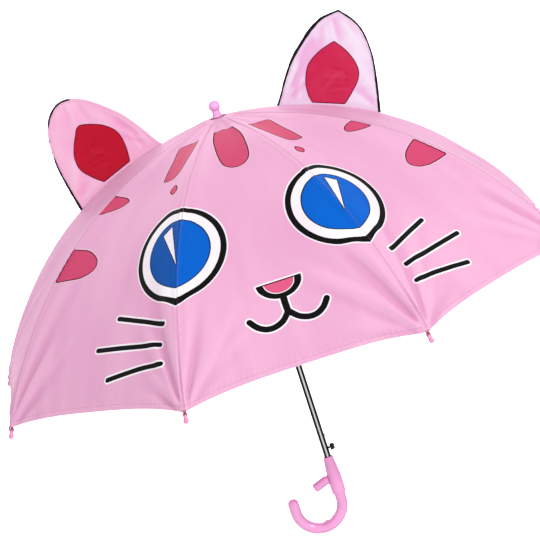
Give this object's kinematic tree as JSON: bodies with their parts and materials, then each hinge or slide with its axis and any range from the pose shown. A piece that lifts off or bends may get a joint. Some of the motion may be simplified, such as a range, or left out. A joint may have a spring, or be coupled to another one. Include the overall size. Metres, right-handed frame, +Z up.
{
  "type": "children's umbrella",
  "caption": "Automatic stick umbrella for a child: steel ribs on a sliding runner under a pink fabric dome with two standing ears, J handle with whistle.",
  "frame": {"origin": "on the shaft axis at the middle of the hand grip", "axes": "+Z up the shaft towards the ferrule, -Y towards the printed face, -X towards the open side of the hook"},
  "size_m": [0.7002, 0.7002, 0.5973],
  "materials": {
    "canopy_fabric": "satin polyester weave",
    "ear_fabric": "satin polyester weave",
    "ear_piping": "woven binding",
    "rib_steel": "black lacquer",
    "shaft_chrome": "polished",
    "bright_steel": "drawn wire",
    "handle_plastic": "glossy",
    "tip_plastic": "glossy",
    "frame_plastic": "moulded",
    "button_plastic": "moulded"
  },
  "bodies": {
    "shaft_set": {"shaft": "shaft_chrome", "handle": "handle_plastic", "whistle": "handle_plastic", "ferrule": "tip_plastic", "crown": "frame_plastic", "crown_wire": "bright_steel", "crown_pin": "bright_steel", "rosette": "canopy_fabric", "main_spring": "bright_steel"},
    "rib_set_1": {"rib_1": "rib_steel", "rib_rivet_1": "bright_steel", "rib_tip_1": "tip_plastic", "canopy_panel_1": "canopy_fabric"},
    "rib_set_2": {"rib_2": "rib_steel", "rib_rivet_2": "bright_steel", "rib_tip_2": "tip_plastic", "canopy_panel_2": "canopy_fabric"},
    "rib_set_3": {"rib_3": "rib_steel", "rib_rivet_3": "bright_steel", "rib_tip_3": "tip_plastic", "canopy_panel_3": "canopy_fabric", "ear_right": "ear_fabric", "ear_piping_right": "ear_piping"},
    "rib_set_4": {"rib_4": "rib_steel", "rib_rivet_4": "bright_steel", "rib_tip_4": "tip_plastic", "canopy_panel_4": "canopy_fabric", "tie_strap": "canopy_fabric"},
    "rib_set_5": {"rib_5": "rib_steel", "rib_rivet_5": "bright_steel", "rib_tip_5": "tip_plastic", "canopy_panel_5": "canopy_fabric"},
    "rib_set_6": {"rib_6": "rib_steel", "rib_rivet_6": "bright_steel", "rib_tip_6": "tip_plastic", "canopy_panel_6": "canopy_fabric", "ear_left": "ear_fabric", "ear_piping_left": "ear_piping"},
    "rib_set_7": {"rib_7": "rib_steel", "rib_rivet_7": "bright_steel", "rib_tip_7": "tip_plastic", "canopy_panel_7": "canopy_fabric"},
    "rib_set_8": {"rib_8": "rib_steel", "rib_rivet_8": "bright_steel", "rib_tip_8": "tip_plastic", "canopy_panel_8": "canopy_fabric"},
    "stretcher_set_1": {"stretcher_1": "rib_steel"},
    "stretcher_set_2": {"stretcher_2": "rib_steel"},
    "stretcher_set_3": {"stretcher_3": "rib_steel"},
    "stretcher_set_4": {"stretcher_4": "rib_steel"},
    "stretcher_set_5": {"stretcher_5": "rib_steel"},
    "stretcher_set_6": {"stretcher_6": "rib_steel"},
    "stretcher_set_7": {"stretcher_7": "rib_steel"},
    "stretcher_set_8": {"stretcher_8": "rib_steel"},
    "runner_set": {"runner": "frame_plastic", "runner_wire": "bright_steel", "runner_key": "bright_steel", "spring_plunger": "frame_plastic"},
    "release_set": {"release_button": "button_plastic", "bottom_catch": "bright_steel"}
  },
  "joints": [
    {"name": "canopy_fold", "type": "hinge", "parent": "shaft_set", "child": "rib_set_1", "pos_m": [0.00344, -0.00831, 0.475], "axis": [0.9239, 0.3827, 0], "range_deg": [0, 54], "stiffness_Nm_per_rad": 0.6, "springref_deg": -74.48, "deforming": ["canopy_panel_1", "canopy_panel_2", "canopy_panel_3", "canopy_panel_4", "canopy_panel_5", "canopy_panel_6", "canopy_panel_7", "canopy_panel_8", "main_spring"]},
    {"name": "rib_turn_2", "type": "hinge", "parent": "shaft_set", "child": "rib_set_2", "pos_m": [0.00831, -0.00344, 0.475], "axis": [0.3827, 0.9239, 0], "range_deg": [0, 54]},
    {"name": "rib_turn_3", "type": "hinge", "parent": "shaft_set", "child": "rib_set_3", "pos_m": [0.00831, 0.00344, 0.475], "axis": [-0.3827, 0.9239, 0], "range_deg": [0, 54]},
    {"name": "rib_turn_4", "type": "hinge", "parent": "shaft_set", "child": "rib_set_4", "pos_m": [0.00344, 0.00831, 0.475], "axis": [-0.9239, 0.3827, 0], "range_deg": [0, 54]},
    {"name": "rib_turn_5", "type": "hinge", "parent": "shaft_set", "child": "rib_set_5", "pos_m": [-0.00344, 0.00831, 0.475], "axis": [-0.9239, -0.3827, 0], "range_deg": [0, 54]},
    {"name": "rib_turn_6", "type": "hinge", "parent": "shaft_set", "child": "rib_set_6", "pos_m": [-0.00831, 0.00344, 0.475], "axis": [-0.3827, -0.9239, 0], "range_deg": [0, 54]},
    {"name": "rib_turn_7", "type": "hinge", "parent": "shaft_set", "child": "rib_set_7", "pos_m": [-0.00831, -0.00344, 0.475], "axis": [0.3827, -0.9239, 0], "range_deg": [0, 54]},
    {"name": "rib_turn_8", "type": "hinge", "parent": "shaft_set", "child": "rib_set_8", "pos_m": [-0.00344, -0.00831, 0.475], "axis": [0.9239, -0.3827, 0], "range_deg": [0, 54]},
    {"name": "stretcher_turn_1", "type": "hinge", "parent": "rib_set_1", "child": "stretcher_set_1", "pos_m": [0.0761, -0.18371, 0.4121], "axis": [0.9239, 0.3827, 0], "range_deg": [-108, 0]},
    {"name": "stretcher_turn_2", "type": "hinge", "parent": "rib_set_2", "child": "stretcher_set_2", "pos_m": [0.18371, -0.0761, 0.4121], "axis": [0.3827, 0.9239, 0], "range_deg": [-108, 0]},
    {"name": "stretcher_turn_3", "type": "hinge", "parent": "rib_set_3", "child": "stretcher_set_3", "pos_m": [0.18371, 0.0761, 0.4121], "axis": [-0.3827, 0.9239, 0], "range_deg": [-108, 0]},
    {"name": "stretcher_turn_4", "type": "hinge", "parent": "rib_set_4", "child": "stretcher_set_4", "pos_m": [0.0761, 0.18371, 0.4121], "axis": [-0.9239, 0.3827, 0], "range_deg": [-108, 0]},
    {"name": "stretcher_turn_5", "type": "hinge", "parent": "rib_set_5", "child": "stretcher_set_5", "pos_m": [-0.0761, 0.18371, 0.4121], "axis": [-0.9239, -0.3827, 0], "range_deg": [-108, 0]},
    {"name": "stretcher_turn_6", "type": "hinge", "parent": "rib_set_6", "child": "stretcher_set_6", "pos_m": [-0.18371, 0.0761, 0.4121], "axis": [-0.3827, -0.9239, 0], "range_deg": [-108, 0]},
    {"name": "stretcher_turn_7", "type": "hinge", "parent": "rib_set_7", "child": "stretcher_set_7", "pos_m": [-0.18371, -0.0761, 0.4121], "axis": [0.3827, -0.9239, 0], "range_deg": [-108, 0]},
    {"name": "stretcher_turn_8", "type": "hinge", "parent": "rib_set_8", "child": "stretcher_set_8", "pos_m": [-0.0761, -0.18371, 0.4121], "axis": [0.9239, -0.3827, 0], "range_deg": [-108, 0]},
    {"name": "runner_turn", "type": "hinge", "parent": "stretcher_set_1", "child": "runner_set", "pos_m": [0.00344, -0.00831, 0.3492], "axis": [0.9239, 0.3827, 0], "range_deg": [0, 54]},
    {"name": "release_press", "type": "slide", "parent": "shaft_set", "child": "release_set", "axis": [-1, 0, 0], "range_m": [0, 0.0018], "stiffness_N_per_m": 800, "springref_m": -0.003}
  ],
  "couplings": [
    {"joint": "rib_turn_2", "follows": "canopy_fold", "ratio": 1},
    {"joint": "rib_turn_3", "follows": "canopy_fold", "ratio": 1},
    {"joint": "rib_turn_4", "follows": "canopy_fold", "ratio": 1},
    {"joint": "rib_turn_5", "follows": "canopy_fold", "ratio": 1},
    {"joint": "rib_turn_6", "follows": "canopy_fold", "ratio": 1},
    {"joint": "rib_turn_7", "follows": "canopy_fold", "ratio": 1},
    {"joint": "rib_turn_8", "follows": "canopy_fold", "ratio": 1},
    {"joint": "stretcher_turn_1", "follows": "canopy_fold", "ratio": -2},
    {"joint": "stretcher_turn_2", "follows": "canopy_fold", "ratio": -2},
    {"joint": "stretcher_turn_3", "follows": "canopy_fold", "ratio": -2},
    {"joint": "stretcher_turn_4", "follows": "canopy_fold", "ratio": -2},
    {"joint": "stretcher_turn_5", "follows": "canopy_fold", "ratio": -2},
    {"joint": "stretcher_turn_6", "follows": "canopy_fold", "ratio": -2},
    {"joint": "stretcher_turn_7", "follows": "canopy_fold", "ratio": -2},
    {"joint": "stretcher_turn_8", "follows": "canopy_fold", "ratio": -2},
    {"joint": "runner_turn", "follows": "canopy_fold", "ratio": 1}
  ]
}
